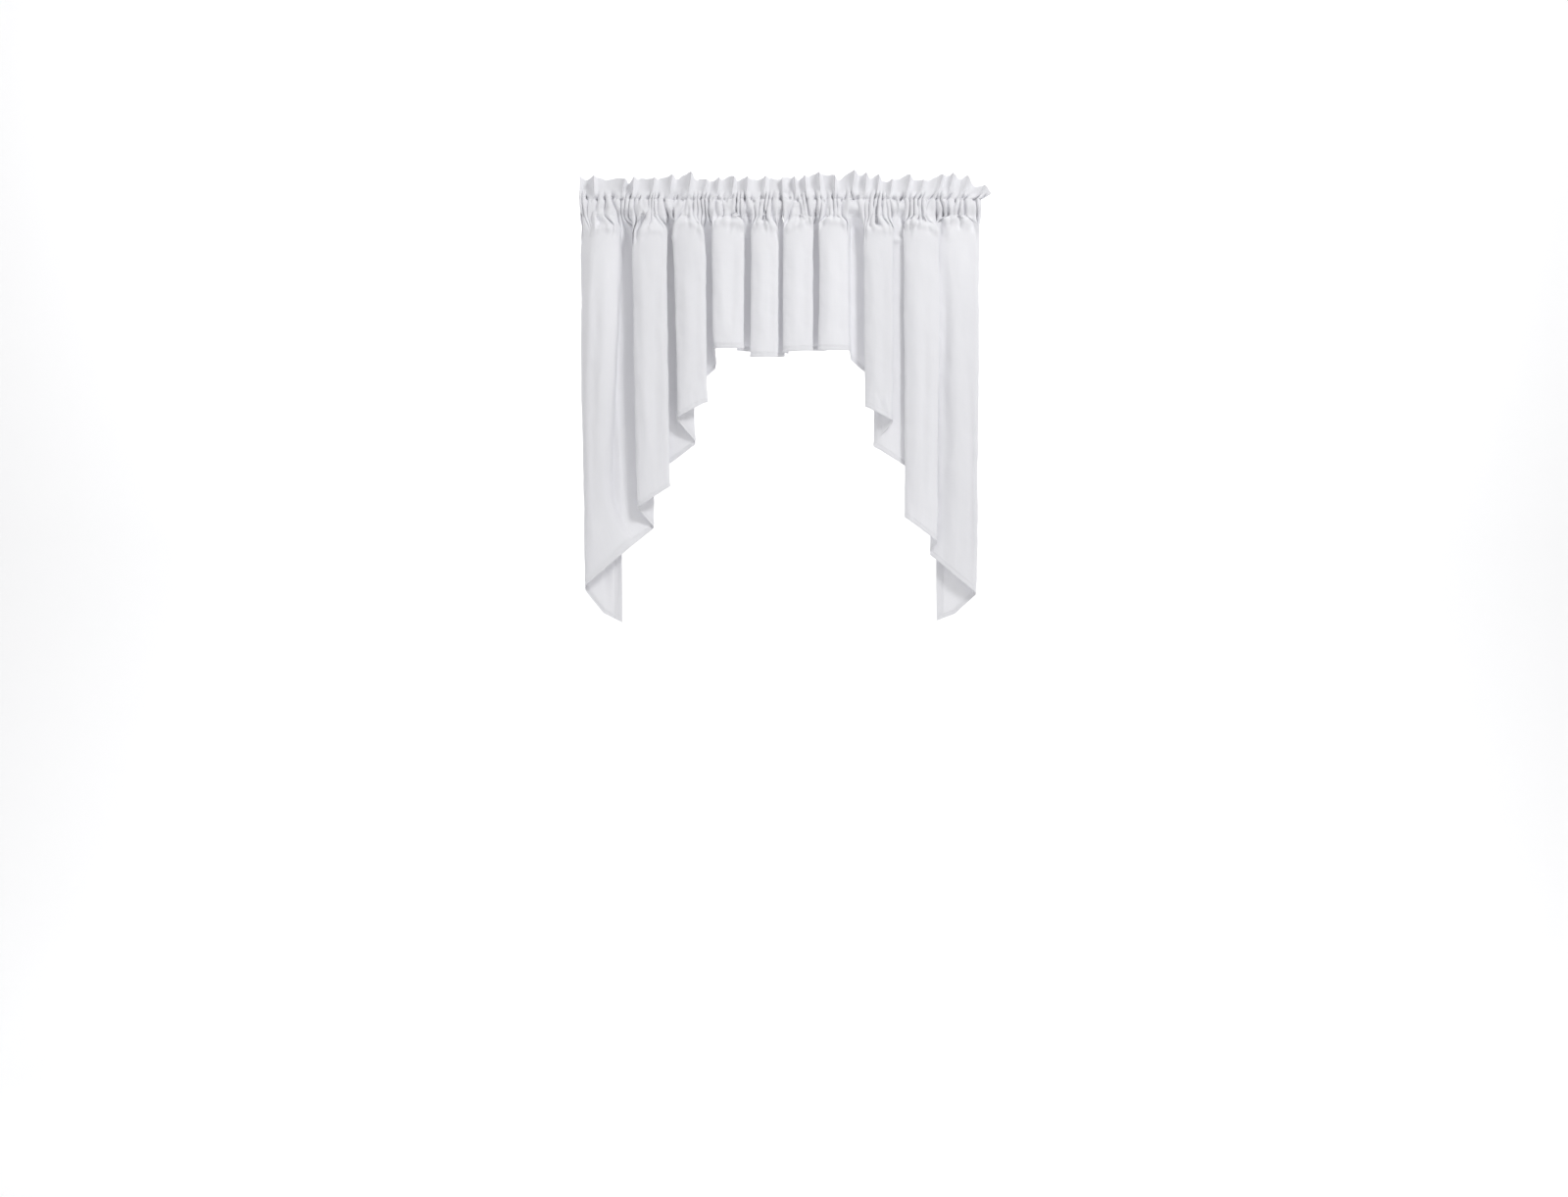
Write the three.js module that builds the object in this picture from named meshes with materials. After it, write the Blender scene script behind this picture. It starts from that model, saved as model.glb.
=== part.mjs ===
// A pair of rod pocket curtains of the swag kind: two gathered panels that meet at the middle.
// Millimetres, +Z up. +X runs along the pockets and -Y faces the room.
// The origin is the middle of the pair on the line of the pockets, where a rod would run.
import * as THREE from 'three';

// Cloth.
const CLOTH_THICKNESS = 1.5;
const HEADER_THICKNESS = 2.6;
const SEAM_GAP = 0.3;

// Heights measured from the pocket's middle line.
const POCKET_TOP = 17;
const POCKET_BOTTOM = -18;
const SHOULDER = -66;

// The pocket's cross section: half its depth at the widest place, and a power that rounds it.
const POCKET_HALF_DEPTH = 12.5;
const POCKET_ROUNDNESS = 0.6;

// Gathers that the two sewn rows draw the cloth into.
const GATHER_PITCH = 21.5;
const GATHER_DEPTH = 2.6;
const GATHER_DRIFT_PITCH = 131;
const GATHER_DRIFT = 1.4;

// Powers of the drop: how late a fold swings out at its foot, and how soon a lag is made up.
const FLARE_POWER = 12;
const LAG_POWER = 4;

// How the header's gathers open into petals on the way up, as a power of the height.
const PETAL_OPENING = 1.4;

// Folds reach their full depth under the pocket sooner than their full width.
const DEPTH_LEAD = 0.6;

// Where the cloth turns as it goes along the pocket, seen from above, one row for each turn.
// pocket: place where it is sewn at the pocket. x: place at the shoulder, below the gathers.
// drift: how far it moves evenly from there to the hem. flare: how far it swings out near the hem.
// lag: how far it trails behind at the shoulder. depth: place front to back.
// bow: how far the cloth up to the next turn bulges forward. hem: height of the hem.
const TURN_COLUMNS = ['pocket', 'x', 'drift', 'flare', 'lag', 'depth', 'bow', 'hem'];
const LEFT_TURNS = namedRows(TURN_COLUMNS, [
  [-441, -362, 10, 0, -68, 22, 0, -902], // side edge, turned behind
  [-436, -402, 10, 1, -32, 18, 0, -882],
  [-430, -439, 9, 2, 0, 11, 0, -834],
  [-419, -439, 9, 2, 0, -10, 13, -823], // first pipe
  [-366, -356, -28, 64, 0, -14, 0, -730],
  [-354, -351, -28, 64, 0, 12, -3, -726],
  [-322, -284, 0, 0, 0, 15, 0, -696],
  [-304, -326, 9, 3, 0, -12, 13, -653], // second pipe
  [-268, -251, 4, 0, 0, -14, 0, -606],
  [-252, -277, 2, 0, 0, 13, -4, -580],
  [-226, -194, 4, 0, 0, 15, 0, -512],
  [-206, -239, 11, 0, 0, -12, 13, -459], // third pipe
  [-174, -171, 2, 0, 0, -14, 0, -423],
  [-160, -182, 0, 0, 0, 13, -3, -380],
  [-144, -149, 0, 0, 0, 15, 0, -350],
  [-132, -153, 4, 0, 0, -12, 13, -308], // fourth pipe
  [-98, -85, 1, 0, 0, -14, 0, -308],
  [-84, -98, 0, 0, 0, 13, -3, -311],
  [-66, -53, 0, 0, 0, 15, 0, -314],
  [-54, -69, -1, 0, 0, -12, 12, -327], // fifth pipe
  [-22, -11, 0, 0, 0, -14, 0, -327],
  [-9, -21, 0, 0, 0, 11, 0, -325],
  [-0.4, 3.5, 0, 0, 0, 9, 0, -324], // middle edge, behind the right curtain's
]);
const RIGHT_TURNS = namedRows(TURN_COLUMNS, [
  [0.4, 12, 0, 0, 0, 8, 0, -318], // middle edge
  [9, 1.5, 0, 0, 0, -11, 13, -316], // sixth pipe
  [44, 65, -1, 0, 0, -14, 0, -313],
  [57, 51, 0, 0, 0, 13, -3, -311],
  [76, 93, 0, 0, 0, 15, 0, -311],
  [89, 78, -1, 0, 0, -12, 13, -312], // seventh pipe
  [124, 142, 1, 0, 0, -13, 0, -313],
  [136, 147, 0, 0, 0, 12, -4, -331],
  [160, 192, 0, 0, 0, 15, 0, -372],
  [174, 176, 2, 0, 0, -12, 13, -433], // eighth pipe
  [210, 239, 0, 0, 0, -14, 0, -465],
  [226, 204, -4, 0, 0, 12, -4, -518],
  [266, 300, 0, 0, 0, 15, 0, -586],
  [282, 261, 4, 0, 0, -12, 13, -672], // ninth pipe
  [322, 338, -5, 0, 0, -14, 0, -727],
  [333, 324, -3, 0, 0, 8, 9, -752],
  [400, 425, -4, -6, 0, -8, 0, -838], // tenth pipe, ending at the outer edge
  [411, 424, -4, -6, 0, 10, 0, -845],
  [420, 380, -4, -3, 43, 17, 0, -883],
  [429, 337, -4, 0, 85, 22, 0, -898], // side edge, turned behind
]);

// The header's top edge, one row for each petal of the ruffle: place along X, front to back, height.
const PETAL_COLUMNS = ['x', 'depth', 'height'];
const LEFT_PETALS = namedRows(PETAL_COLUMNS, [
  [-440, -3, 66],
  [-427, 9, 56],
  [-408, -11, 68],
  [-372, -14, 62],
  [-350, 10, 48],
  [-334, -9, 62],
  [-318, 9, 66],
  [-290, -10, 63],
  [-275, 7, 58],
  [-256, -9, 71],
  [-236, 8, 64],
  [-218, -9, 69],
  [-205, 9, 58],
  [-188, -12, 72],
  [-168, 10, 60],
  [-150, -12, 63],
  [-128, 8, 57],
  [-106, -13, 66],
  [-84, 9, 62],
  [-62, -10, 55],
  [-44, 9, 64],
  [-22, -12, 67],
  [-3, 5, 66],
]);
const RIGHT_PETALS = namedRows(PETAL_COLUMNS, [
  [3, 5, 66],
  [18, -11, 67],
  [40, 9, 63],
  [60, -10, 68],
  [80, 9, 74],
  [102, -12, 68],
  [120, 9, 64],
  [138, -9, 69],
  [158, 10, 76],
  [180, -12, 68],
  [204, 9, 66],
  [222, -10, 54],
  [240, 10, 70],
  [264, -8, 58],
  [284, -11, 68],
  [304, 9, 62],
  [322, -11, 56],
  [342, 8, 66],
  [366, -12, 74],
  [388, 9, 66],
  [404, -9, 62],
  [428, 4, 43],
  [448, -4, 30],
]);

// Fineness of the surfaces.
const STRETCH_PLACES = [0, 0.12, 0.5, 0.88];
const STRETCH_COLUMNS = 5;
const HEADING_COLUMNS = 74;
const BLEND_STEPS = [0, 0.2, 0.42, 0.68, 1];
const DROP_STEPS = [0.1, 0.3, 0.58, 0.78, 0.9, 1];
const POCKET_STEPS = [0, 0.22, 0.5, 0.78, 1];
const HEADER_STEPS = [0.3, 0.65, 1];

// Cotton finish, white with a faint cool cast.
const CLOTH_FINISH = { color: 0xf1f1f5, roughness: 0.78, metalness: 0, side: THREE.DoubleSide };

function namedRows(columns, rows) {
  return rows.map((row) => Object.fromEntries(columns.map((column, i) => [column, row[i]])));
}

const mix = THREE.MathUtils.lerp;
const smooth = (t) => THREE.MathUtils.smoothstep(t, 0, 1);

// Depth of the small sewn gathers at a place along X.
function gather(x) {
  const drift = GATHER_DRIFT * Math.sin((2 * Math.PI * x) / GATHER_DRIFT_PITCH);
  return GATHER_DEPTH * Math.sin((2 * Math.PI * x) / GATHER_PITCH + drift);
}

// The panel's folds at a share of the way down from the shoulder, as a curve seen from above. The
// curve's third value is the height of the hem at that place.
function foldCurve(turns, drop) {
  const placed = turns.map((turn) => {
    const swing = turn.drift * drop + turn.flare * drop ** FLARE_POWER + turn.lag * (1 - drop) ** LAG_POWER;
    return new THREE.Vector3(turn.x + swing, turn.depth, turn.hem);
  });
  const points = [];
  for (let i = 0; i + 1 < turns.length; i += 1) {
    for (const place of STRETCH_PLACES) {
      const point = placed[i].clone().lerp(placed[i + 1], place);
      point.y -= turns[i].bow * 4 * place * (1 - place);
      points.push(point);
    }
  }
  points.push(placed[placed.length - 1]);
  return new THREE.CatmullRomCurve3(points, false, 'centripetal');
}

// Where each column of the cloth is sewn along the pocket.
function pocketPlaces(turns) {
  const places = [turns[0].pocket];
  for (let i = 0; i + 1 < turns.length; i += 1) {
    for (let step = 1; step <= STRETCH_COLUMNS; step += 1) {
      places.push(mix(turns[i].pocket, turns[i + 1].pocket, step / STRETCH_COLUMNS));
    }
  }
  return places;
}

// Rows of points down a panel, each along the whole cloth: from the gathers under the pocket to the
// shoulder, where the folds are full, and on to the hem.
function panelRows(turns) {
  const places = pocketPlaces(turns);
  const folded = (drop) => foldCurve(turns, drop).getPoints(places.length - 1);
  const top = POCKET_BOTTOM - SEAM_GAP;
  const gathered = BLEND_STEPS.map((step) => folded(0).map((point, i) => {
    const x = mix(places[i], point.x, smooth(step));
    const depth = mix(gather(places[i]), point.y, smooth(step ** DEPTH_LEAD));
    return new THREE.Vector3(x, depth, mix(top, SHOULDER, step));
  }));
  const hanging = DROP_STEPS.map((step) => folded(step).map(
    (point) => new THREE.Vector3(point.x, point.y, mix(SHOULDER, point.z, step)),
  ));
  return [...gathered, ...hanging];
}

const IN_FULL = new THREE.Vector3(1, 1, 1);
const SEEN_FROM_ABOVE = new THREE.Vector3(1, 1, 0);

// The direction of a line of points at one of them, shared evenly between its two neighbours.
function direction(before, point, after, spread) {
  const arriving = point.clone().sub(before).multiply(spread).normalize();
  const leaving = after.clone().sub(point).multiply(spread).normalize();
  return arriving.add(leaving);
}

// Unit normals of a grid of points. Those of the sewn top row are level, so that the cut edge under
// the heading is level too.
function gridNormals(rows) {
  return rows.map((row, j) => row.map((point, i) => {
    const before = row[Math.max(i - 1, 0)];
    const after = row[Math.min(i + 1, row.length - 1)];
    const above = rows[Math.max(j - 1, 0)][i];
    const below = rows[Math.min(j + 1, rows.length - 1)][i];
    const along = direction(before, point, after, SEEN_FROM_ABOVE);
    const normal = along.cross(direction(above, point, below, IN_FULL));
    if (j === 0) {
      normal.z = 0;
    }
    return normal.normalize();
  }));
}

// A mesh from loops of points, each as long as the next, skinned one to another.
class Skin {
  constructor() {
    this.positions = [];
    this.faces = [];
  }

  add(point) {
    this.positions.push(point.x, point.y, point.z);
    return this.positions.length / 3 - 1;
  }

  quad(a, b, c, d) {
    this.faces.push(a, b, c, a, c, d);
  }

  triangle(a, b, c) {
    this.faces.push(a, b, c);
  }

  geometry() {
    const geometry = new THREE.BufferGeometry();
    geometry.setAttribute('position', new THREE.Float32BufferAttribute(this.positions, 3));
    geometry.setIndex(this.faces);
    geometry.computeVertexNormals();
    return geometry;
  }
}

// A sheet of cloth of even thickness round a grid of points.
function sheetGeometry(rows, thickness) {
  const skin = new Skin();
  const normals = gridNormals(rows);
  const side = (offset) => rows.map((row, j) => row.map(
    (point, i) => skin.add(point.clone().addScaledVector(normals[j][i], offset)),
  ));
  const back = side(thickness / 2);
  const front = side(-thickness / 2);
  const lastRow = rows.length - 1;
  const lastColumn = rows[0].length - 1;
  for (let j = 0; j < lastRow; j += 1) {
    for (let i = 0; i < lastColumn; i += 1) {
      skin.quad(back[j][i], back[j][i + 1], back[j + 1][i + 1], back[j + 1][i]);
      skin.quad(front[j][i], front[j + 1][i], front[j + 1][i + 1], front[j][i + 1]);
    }
    skin.quad(back[j][0], back[j + 1][0], front[j + 1][0], front[j][0]);
    skin.quad(back[j + 1][lastColumn], back[j][lastColumn], front[j][lastColumn], front[j + 1][lastColumn]);
  }
  for (let i = 0; i < lastColumn; i += 1) {
    skin.quad(back[0][i + 1], back[0][i], front[0][i], front[0][i + 1]);
    skin.quad(back[lastRow][i], back[lastRow][i + 1], front[lastRow][i + 1], front[lastRow][i]);
  }
  return skin.geometry();
}

// How far the pocket is open at a share of the way from its top row of sewing to its bottom one.
function pocketOpening(step) {
  return Math.sin(Math.PI * step) ** POCKET_ROUNDNESS;
}

// The middle surface of the header, from its sewn line up to the petals' edge.
function headerRows(petalRows, ends) {
  const edge = new THREE.CatmullRomCurve3(
    petalRows.map((petal) => new THREE.Vector3(petal.x, petal.depth, petal.height)),
    false,
    'centripetal',
  ).getPoints(HEADING_COLUMNS - 1);
  return [0, ...HEADER_STEPS].map((step) => edge.map((petal, i) => {
    const x = mix(ends[0], ends[1], i / (HEADING_COLUMNS - 1));
    const weight = step ** PETAL_OPENING;
    return new THREE.Vector3(
      mix(x, petal.x, weight),
      mix(gather(x), petal.y, weight),
      mix(POCKET_TOP, petal.z, step),
    );
  }));
}

// One column of the pocket's cross section, with the tunnel inside it. A rod keeps the gathers from
// bulging into the tunnel, so each ply bulges outwards only, while at the sewn rows both go together.
function pocketColumn(skin, x) {
  const at = (depth, height) => skin.add(new THREE.Vector3(x, depth, height));
  const column = { front: [], back: [], innerFront: [], innerBack: [] };
  const bulge = gather(x);
  for (const step of POCKET_STEPS) {
    const height = mix(POCKET_TOP, POCKET_BOTTOM, step);
    const opening = pocketOpening(step);
    const half = mix(HEADER_THICKNESS / 2, POCKET_HALF_DEPTH, opening);
    const front = mix(bulge, Math.min(bulge, 0), opening) - half;
    const back = mix(bulge, Math.max(bulge, 0), opening) + half;
    column.front.push(at(front, height));
    column.back.push(at(back, height));
    if (step === 0 || step === 1) {
      const inset = step === 0 ? -CLOTH_THICKNESS : CLOTH_THICKNESS;
      const end = at(bulge, height + inset);
      column.innerFront.push(end);
      column.innerBack.push(end);
    } else {
      column.innerFront.push(at(front + CLOTH_THICKNESS, height));
      column.innerBack.push(at(back - CLOTH_THICKNESS, height));
    }
  }
  return column;
}

// One column of the whole heading. The header's two plies lie together above the tunnel.
function headingColumn(skin, header, normals, i) {
  const column = pocketColumn(skin, header[0][i].x);
  const ply = (j, side) => skin.add(
    header[j][i].clone().addScaledVector(normals[j][i], (side * HEADER_THICKNESS) / 2),
  );
  const above = header.slice(1).map((_, k) => k + 1);
  column.headerFront = [column.front[0], ...above.map((j) => ply(j, 1))];
  column.headerBack = [column.back[0], ...above.map((j) => ply(j, -1))];
  return column;
}

// Skins a strip between the same line of points in two neighbouring columns.
function skinStrip(skin, line, next) {
  for (let k = 0; k + 1 < line.length; k += 1) {
    skin.quad(line[k], next[k], next[k + 1], line[k + 1]);
  }
}

// The open ends of the pocket, the cut face of the cloth all round the tunnel.
function closeEnd(skin, column, facing) {
  const face = (a, b, c) => (facing > 0 ? skin.triangle(a, b, c) : skin.triangle(c, b, a));
  const patch = (a, b, c, d) => {
    face(a, b, c);
    face(a, c, d);
  };
  const last = POCKET_STEPS.length - 1;
  for (let k = 0; k < last; k += 1) {
    const { front, back, innerFront, innerBack } = column;
    patch(front[k + 1], innerFront[k + 1], innerFront[k], front[k]);
    patch(innerBack[k + 1], back[k + 1], back[k], innerBack[k]);
  }
  face(column.front[0], column.innerFront[0], column.back[0]);
  face(column.front[last], column.back[last], column.innerFront[last]);
  for (let k = 0; k + 1 < column.headerFront.length; k += 1) {
    const { headerFront, headerBack } = column;
    patch(headerFront[k], headerBack[k], headerBack[k + 1], headerFront[k + 1]);
  }
}

// The top of a curtain: the stand-up header and, under it, the pocket that a rod slides into.
function headingGeometry(petalRows, ends) {
  const skin = new Skin();
  const header = headerRows(petalRows, ends);
  const normals = gridNormals(header);
  const columns = header[0].map((_, i) => headingColumn(skin, header, normals, i));
  const outside = (column) => [
    ...[...column.front].reverse(),
    ...column.headerFront.slice(1),
    ...[...column.headerBack].reverse(),
    ...column.back.slice(1),
    column.front[column.front.length - 1],
  ];
  const inside = (column) => [...column.innerFront, ...[...column.innerBack].reverse().slice(1)];
  for (let i = 0; i + 1 < columns.length; i += 1) {
    skinStrip(skin, outside(columns[i]), outside(columns[i + 1]));
    skinStrip(skin, inside(columns[i]), inside(columns[i + 1]));
  }
  closeEnd(skin, columns[0], -1);
  closeEnd(skin, columns[columns.length - 1], 1);
  return skin.geometry();
}

function clothMesh(name, geometry) {
  const mesh = new THREE.Mesh(geometry, new THREE.MeshStandardMaterial(CLOTH_FINISH));
  mesh.name = name;
  return mesh;
}

// One curtain: its panel and its heading.
function curtain(side, turns, petals) {
  const ends = [turns[0].pocket, turns[turns.length - 1].pocket];
  const group = new THREE.Group();
  group.add(clothMesh(`${side}_panel`, sheetGeometry(panelRows(turns), CLOTH_THICKNESS)));
  group.add(clothMesh(`${side}_heading`, headingGeometry(petals, ends)));
  return group;
}

const curtains = new THREE.Group();
curtains.name = 'rod_pocket_curtains';
curtains.add(curtain('left', LEFT_TURNS, LEFT_PETALS));
curtains.add(curtain('right', RIGHT_TURNS, RIGHT_PETALS));

export default curtains;
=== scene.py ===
"""A pair of white rod pocket curtains of the swag kind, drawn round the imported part.

Metres, +Z up. +X runs along the pockets, -Y faces the room, and the origin is the middle of the
pair on the line of the pockets. The cloth is worked out in millimetres, as a maker cuts and sews it.
"""

import math
from collections import namedtuple

import bpy
import numpy as np
from bpy.props import FloatProperty, FloatVectorProperty, IntProperty, PointerProperty
from bpy.types import Operator, Panel, PropertyGroup
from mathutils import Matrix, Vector


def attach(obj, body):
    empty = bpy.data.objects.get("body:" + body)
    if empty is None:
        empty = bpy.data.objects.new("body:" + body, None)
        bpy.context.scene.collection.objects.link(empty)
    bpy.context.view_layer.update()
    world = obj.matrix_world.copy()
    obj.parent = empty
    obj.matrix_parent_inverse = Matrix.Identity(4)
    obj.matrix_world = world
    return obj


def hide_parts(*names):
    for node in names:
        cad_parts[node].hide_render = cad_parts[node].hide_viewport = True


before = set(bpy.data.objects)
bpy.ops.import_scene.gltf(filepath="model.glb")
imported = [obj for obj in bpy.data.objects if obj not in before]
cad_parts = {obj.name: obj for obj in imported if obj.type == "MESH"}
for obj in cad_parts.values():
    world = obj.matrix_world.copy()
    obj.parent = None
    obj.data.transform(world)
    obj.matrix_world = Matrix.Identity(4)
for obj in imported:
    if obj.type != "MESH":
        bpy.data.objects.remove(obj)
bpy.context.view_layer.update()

bl_info = {
    "name": "Rod pocket curtains",
    "version": (1, 0, 0),
    "blender": (4, 5, 0),
    "location": "3D View > Sidebar > Curtains",
    "description": "A gathered pair of white rod pocket curtains, cut short in the middle",
    "category": "Object",
}

MM = 0.001

# Heights from the pocket's middle line, in millimetres: its two rows of sewing, where the folds begin
# to open, and above what the rows of cloth lie closer.
POCKET_TOP = 17
POCKET_BOTTOM = -18
SHOULDER = -66
FOLDS_SET = -84

# Millimetres of cloth in a ply of the pocket, of the header, round its top, and under the sewing.
POCKET_PLY = 45
HEADER_PLY = 52
CREST_PLY = 1
EDGE_PLY = 3

# The pocket's cross section, as the rod keeps it open.
POCKET_HALF_DEPTH = 10
POCKET_ROUND = 0.6
ROD_CLEARANCE = 7.8
SEAM_HALF_DEPTH = 0.5

# How far the folds pull the pocket's lower sewing along, as shares of their depth.
PIPE_PULL = 0.62
RECESS_PULL = 0.2

# From which depth the cloth counts as a pipe, and how much further forward it does so fully.
PIPE_FROM = 4
PIPE_OVER = 22

# What is left of the gathers' depth at the sewing and on the rod, what a pipe's crown takes away, and how
# far below the sewing they are held back.
RIDGE_HELD = 0.85
RIDGE_LOST = 0.4
SEAM_HOLD = 9

# The header's sewing: its depth, how deep its pinches are, with their mean and largest share, how high
# they reach, and how ragged and fine the row is.
SEAM_FORWARD = -4
SEAM_PUCKER = 8
PUCKER_SHARE = 0.25
PUCKER_LIMIT = 1.2
PUCKER_HEIGHT = 4.5
SEAM_RAGGED = 4
SEAM_FINENESS = 3

# The gathers: how uneven their places, bends, roundness and depth are, and their sides' lean.
GATHER_SPREAD = 0.55
GATHER_BEND = 0.4
GATHER_ROUND = 0.5
ROUND_SPREAD = 0.25
ROUND_FINENESS = 2
ROUND_LIMITS = (0.32, 0.9)
BLUNTNESS = 0.01
DEPTH_SPREAD = 0.6
DEPTH_STREAK = 0.5
DEPTH_LIMITS = (0.25, 1.7)
GATHER_LEAN = 0.1

# Where the gathers start to fade, and how far past the full folds they reach, in millimetres.
FADE_START = 0.5
RECESS_REACH = 40
PIPE_REACH = 24
REACH_SPREAD = 0.8
LEAST_REACH = 3

# Powers of the drop: how late a fold swings out, how soon a lag is made up, and how late a fold opens,
# which one of the full flare does altogether.
FLARE_POWER = 12
LAG_POWER = 4
OPENING_POWER = 5
FULL_FLARE = 80

# How soon a recess is deep, and the shares of the drop where the folds are worked out and measured.
DEPTH_LEAD = 0.6
FOLD_LEVELS = np.linspace(0, 1, 25)
MEASURED_AT = 0.35

# A pipe's crown: where it starts to come forward on the way to the full fold, and its raised rim.
CROWN_START = 0.3
RIM_WIDTH = 8
RIM_PLACE = 0.5
RIM_RISE = 0.3

# The header's petals: how far they keep to their own places, how soon they open, how far they swing, how
# sharp they are, and the ridge, the ragged edge and the lean of each.
PETAL_PLACING = 0.6
PETAL_OPENING = 0.75
PETAL_SWING = 1.25
PETAL_SHARP = 0.55
PETAL_RIDGE = 2.6
PETAL_RIDGE_WIDTH = 0.15
PETAL_RAGGED = 2
PETAL_LEAN = 0.2

# The header's fall towards the room, its ripples, and how far up the gathers reach into it.
HEADER_FLOP = 7
FLOP_SPREAD = 2.4
FLOP_FINENESS = 4
FLOP_LINE = 60
HEADER_RIPPLE = 0.7
HEADER_FINENESS = 1.6
HEADER_SPAN = 40
GATHERS_END = 0.5

# How far and how soon the header's plies part, their belly, and the rise of the top.
PLY_GAP = 0.8
PLY_PARTING = 14
PLY_BELLY = 0.5
CREST_RISE = 1.1

# Where the turned edge ends, below and behind the sewing.
EDGE_DROP = 2.5
EDGE_BEHIND = 1.4

# How unevenly the cloth hangs, in millimetres, and how slowly that changes downwards.
SWAY = 1.4
RIPPLE = 1.1
RIPPLE_STREAK = 0.35
WRINKLE = 0.55
WRINKLE_SLANT = (0.8, 0.6)

# From where and over what height the cloth comes to hang freely, and how near the middle it is held.
HANG_START = 10
HANG_OVER = 60
MIDDLE_HELD = 80

# The bottom hem's puckers, its groove of stitches, and its swell, placed by shares of the hem.
HEM_PUCKER = 0.8
PUCKER_STREAK = 0.4
PUCKER_FADE = 20
HEM_GROOVE = 1.3
GROOVE_WIDTH = 2
HEM_SWELL = 0.8
SWELL_PLACE = 0.4
SWELL_WIDTH = 0.35

# The side hems' groove, what of a groove shows behind, how round the edges are, and the corners' lap.
SIDE_GROOVE = 0.35
SIDE_WIDTH = 1.3
GROOVE_BEHIND = 0.3
SIDE_ROUND = 0.4
HEM_ROUND = 0.5
CORNER_LAP = 0.25

# A hem's steepest slope, the width of the lighter band along folded edges, and the share of a crease's
# ends.
SLOPE_LIMIT = 1.2
FOLDED_EDGE_WIDTH = 2.2
CREASE_END = 0.25

# An uneven value: how far and how finely its waves sway, and its size.
WAVE_SWAY = 1.7
WAVE_FINENESS = 2
WAVE_SIZE = 1.8

# The least that is divided by.
LEAST_SPACING = 0.05
LEAST_GAP = 1e-4
LEAST_LENGTH = 1e-9

# One stitch, as rings along it: share of the way, height over the cloth, and thickness.
STITCH_RINGS = ((0, -0.15, 0.45), (0.2, 0.08, 0.9), (0.5, 0.16, 1), (0.8, 0.08, 0.9), (1, -0.15, 0.45))
STITCH_SIDES = 4
THREAD_FLATNESS = 0.75

# The weave's thicker threads: how many lie in a metre, how often each starts anew, and what light they
# keep back.
SLUB_COUNT = 900
SLUB_STARTS = 14
SLUB_SHADE = 0.03

# What lightens the cloth's tone, what raises its surface, and what roughens it and the thread.
BASE_TONE = 0.15
CLOUD_TONE = 0.7
THREAD_TONE = 0.5
# The cloth's tone is lighter and rougher along its folded edges.
EDGE_TONE = 0.25
WEAVE_RISE = 0.5
SLUB_RISE = 1.2
CLOTH_ROUGH = 0.7
CLOUD_ROUGH = 0.14
EDGE_ROUGH = 0.08
THREAD_ROUGH = 0.42
TWIST_ROUGH = 0.2

# Where the cloth turns as it goes along the pocket, seen from above, one row for each turn.
# pocket: place where it is sewn. x: place at the shoulder. drift: how far it moves evenly from there to
# the hem. flare: how far it swings out near the hem. lag: how far it trails behind at the shoulder.
# depth: place front to back. bow: how far the cloth up to the next turn bulges forward. hem: height of
# the hem. crown: height under which the fold is full. peak: how much higher it is full on the way to the
# next turn. apex: where on that way the peak stands.
Turn = namedtuple("Turn", "pocket x drift flare lag depth bow hem crown peak apex", defaults=(0, 0.5))
LEFT_TURNS = [
    Turn(-441, -362, 10, 0, -68, 22, 0, -902, -66),  # side edge, turned behind
    Turn(-439.5, -402, 10, 1, -32, 18, 0, -882, -66),
    Turn(-437, -439, 9, 2, 0, 15, 0, -834, -70),
    Turn(-431, -439, 9, 2, 20, -10, 13, -823, -58, 12, 0.5),  # first pipe
    Turn(-363, -356, -28, 64, 0, -14, 0, -730, -52),
    Turn(-356, -351, -28, 64, 0, 22, -3, -726, -66),
    Turn(-336, -284, 0, 0, 0, 27, 0, -696, -66),
    Turn(-325, -326, 9, 3, 0, -12, 13, -653, -68, 12, 0.6),  # second pipe
    Turn(-257, -251, 4, 0, 0, -14, 0, -606, -56),
    Turn(-250, -277, 2, 0, 0, 11, -4, -580, -66),
    Turn(-242, -194, 4, 0, 0, 13, 0, -512, -66),
    Turn(-233, -239, 11, 0, 0, -12, 13, -459, -78, 46, 0.42),  # third pipe
    Turn(-177, -171, 2, 0, 0, -14, 0, -423, -78),
    Turn(-170, -182, 0, 0, 0, 13, -3, -380, -66),
    Turn(-160, -149, 0, 0, 0, 15, 0, -350, -60),
    Turn(-151, -153, 4, 0, 0, -12, 13, -308, -44, 16, 0.45),  # fourth pipe
    Turn(-90, -85, 1, 0, 0, -14, 0, -308, -48),
    Turn(-84, -98, 0, 0, 0, 11, -3, -311, -62),
    Turn(-74, -53, 0, 0, 0, 12, 0, -314, -62),
    Turn(-66, -69, -1, 0, 0, -12, 12, -327, -60, 24, 0.4),  # fifth pipe
    Turn(-15, -11, 0, 0, 0, -14, 0, -327, -60),
    Turn(-9, -21, 0, 0, 0, 6, 0, -325, -62),
    Turn(-0.4, 9, -6, 0, 0, 12, 0, -324, -62),  # middle edge, behind the right curtain's
]
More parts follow.
